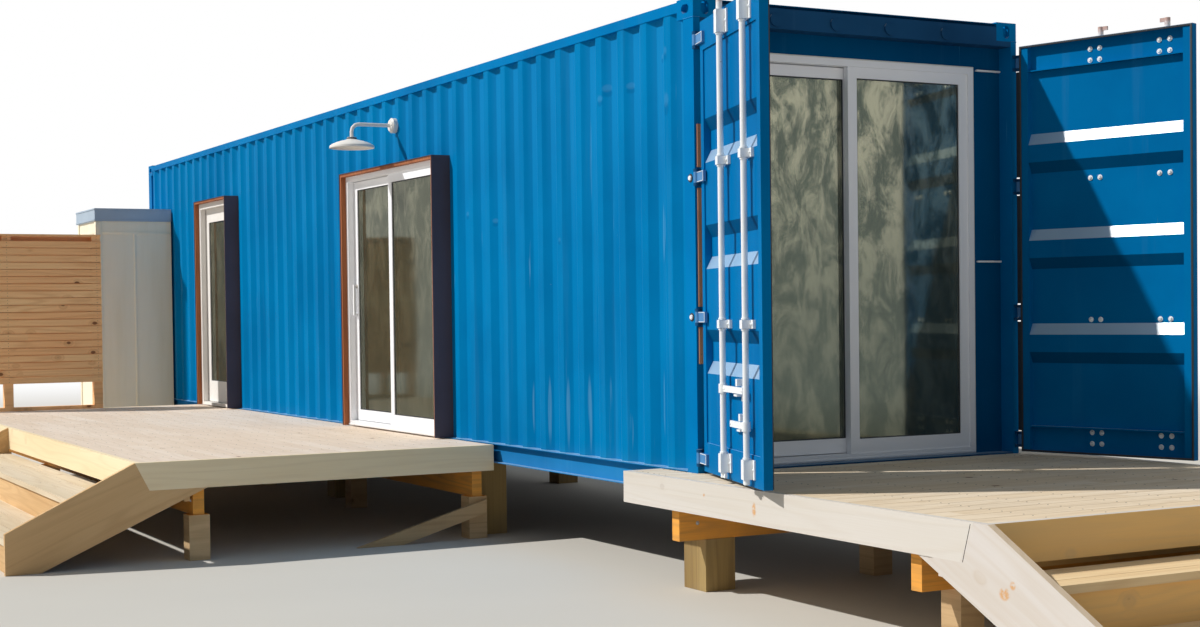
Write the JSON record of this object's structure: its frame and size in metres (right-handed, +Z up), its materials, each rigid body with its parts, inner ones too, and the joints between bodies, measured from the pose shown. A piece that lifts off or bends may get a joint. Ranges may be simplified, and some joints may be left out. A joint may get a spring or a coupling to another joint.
{
  "type": "shipping container cabin",
  "caption": "Steel shipping container fitted out as a cabin, with open cargo doors, glazed sliding and hinged doors, timber decks with steps, a slatted screen and a utility closet.",
  "frame": {"origin": "on the ground straight below the container's lower corner at the door end, on the foot of the pier there", "axes": "+X from the far end to the door end, +Y from the door side into the container, +Z up"},
  "size_m": [15.677, 6.1565, 3.426],
  "materials": {
    "blue_steel": "satin paint over folded steel, chalked and scuffed",
    "blue_castings": "satin paint on cast steel",
    "underframe_steel": "dull underbody paint",
    "white_vinyl": "white extruded vinyl",
    "white_joinery": "white factory paint",
    "clear_glass": "clear double glazing",
    "nickel": "satin nickel",
    "charcoal_steel": "matt charcoal plate",
    "cedar": "oiled cedar",
    "door_gear": "off-white paint, worn",
    "pale_pine": "new pine, dry",
    "sawn_pine": "new pine, sawn",
    "rough_timber": "rough sawn timber",
    "floorboards": "dark stained boards",
    "wallboard": "pale painted lining board",
    "galvanised": "galvanised sheet",
    "cream_siding": "cream painted siding",
    "roof_sheet": "pale grey roof sheet"
  },
  "bodies": {
    "cabin": {"back_wall": "blue_steel", "barn_light_arm": "galvanised", "barn_light_shade": "galvanised", "bulkhead": "blue_steel", "ceiling": "wallboard", "corner_castings": "blue_castings", "corner_posts": "blue_steel", "cross_members": "underframe_steel", "door_hardware": "door_gear", "door_surrounds": "charcoal_steel", "end_beams": "blue_steel", "end_deck_boards": "pale_pine", "end_deck_frame": "sawn_pine", "end_deck_supports": "rough_timber", "end_door_fixed_glass": "clear_glass", "end_door_fixed_sash": "white_vinyl", "end_door_frame": "white_vinyl", "end_stringers": "sawn_pine", "end_treads": "pale_pine", "end_wall": "blue_steel", "entry_frame": "white_joinery", "entry_hinges": "nickel", "floor": "floorboards", "front_wall": "blue_steel", "front_wall_lintels": "blue_steel", "patio_door_fixed_glass": "clear_glass", "patio_door_fixed_sash": "white_vinyl", "patio_door_frame": "white_vinyl", "piers": "rough_timber", "post_batten": "sawn_pine", "roof": "blue_steel", "screen": "cedar", "side_deck_boards": "pale_pine", "side_deck_frame": "sawn_pine", "side_deck_supports": "rough_timber", "side_rails": "blue_steel", "side_stringers": "sawn_pine", "side_treads": "pale_pine", "surround_linings": "cedar", "utility_closet": "cream_siding", "utility_closet_roof": "roof_sheet", "wall_lining": "wallboard"},
    "left_leaf": {"left_leaf": "blue_steel", "left_leaf_fittings": "door_gear"},
    "right_leaf": {"right_leaf": "blue_steel", "right_leaf_fittings": "door_gear"},
    "left_inner_rod": {"left_inner_rod": "door_gear"},
    "left_outer_rod": {"left_outer_rod": "door_gear"},
    "right_inner_rod": {"right_inner_rod": "door_gear"},
    "right_outer_rod": {"right_outer_rod": "door_gear"},
    "end_door_sash": {"end_door_sliding_sash": "white_vinyl", "end_door_sliding_glass": "clear_glass"},
    "patio_door_sash": {"patio_door_sliding_sash": "white_vinyl", "patio_door_sliding_glass": "clear_glass"},
    "entry_door": {"entry_door": "white_joinery", "entry_glass": "clear_glass", "entry_knobs": "nickel"}
  },
  "joints": [
    {"name": "left_leaf_swing", "type": "hinge", "parent": "cabin", "child": "left_leaf", "pos_m": [0.018, 0, 1.5], "axis": [0, 0, 1], "range_deg": [-142.5, 107.5]},
    {"name": "right_leaf_swing", "type": "hinge", "parent": "cabin", "child": "right_leaf", "pos_m": [0.018, 2.438, 1.5], "axis": [0, 0, 1], "range_deg": [-105, 145]},
    {"name": "left_inner_rod_turn", "type": "hinge", "parent": "left_leaf", "child": "left_inner_rod", "pos_m": [0.56158, -0.18816, 1.5], "axis": [0, 0, -1], "range_deg": [0, 100]},
    {"name": "left_outer_rod_turn", "type": "hinge", "parent": "left_leaf", "child": "left_outer_rod", "pos_m": [0.98121, -0.32048, 1.5], "axis": [0, 0, 1], "range_deg": [0, 100]},
    {"name": "right_inner_rod_turn", "type": "hinge", "parent": "right_leaf", "child": "right_inner_rod", "pos_m": [0.56927, 2.60228, 1.5], "axis": [0, 0, -1], "range_deg": [-100, 0]},
    {"name": "right_outer_rod_turn", "type": "hinge", "parent": "right_leaf", "child": "right_outer_rod", "pos_m": [0.99427, 2.71616, 1.5], "axis": [0, 0, 1], "range_deg": [-100, 0]},
    {"name": "end_door_slide", "type": "slide", "parent": "cabin", "child": "end_door_sash", "axis": [0, 1, 0], "range_m": [0, 0.8]},
    {"name": "patio_door_slide", "type": "slide", "parent": "cabin", "child": "patio_door_sash", "axis": [1, 0, 0], "range_m": [0, 0.8]},
    {"name": "entry_door_swing", "type": "hinge", "parent": "cabin", "child": "entry_door", "pos_m": [-9.8255, 0.047, 1.7], "axis": [0, 0, 1], "range_deg": [0, 90]}
  ]
}
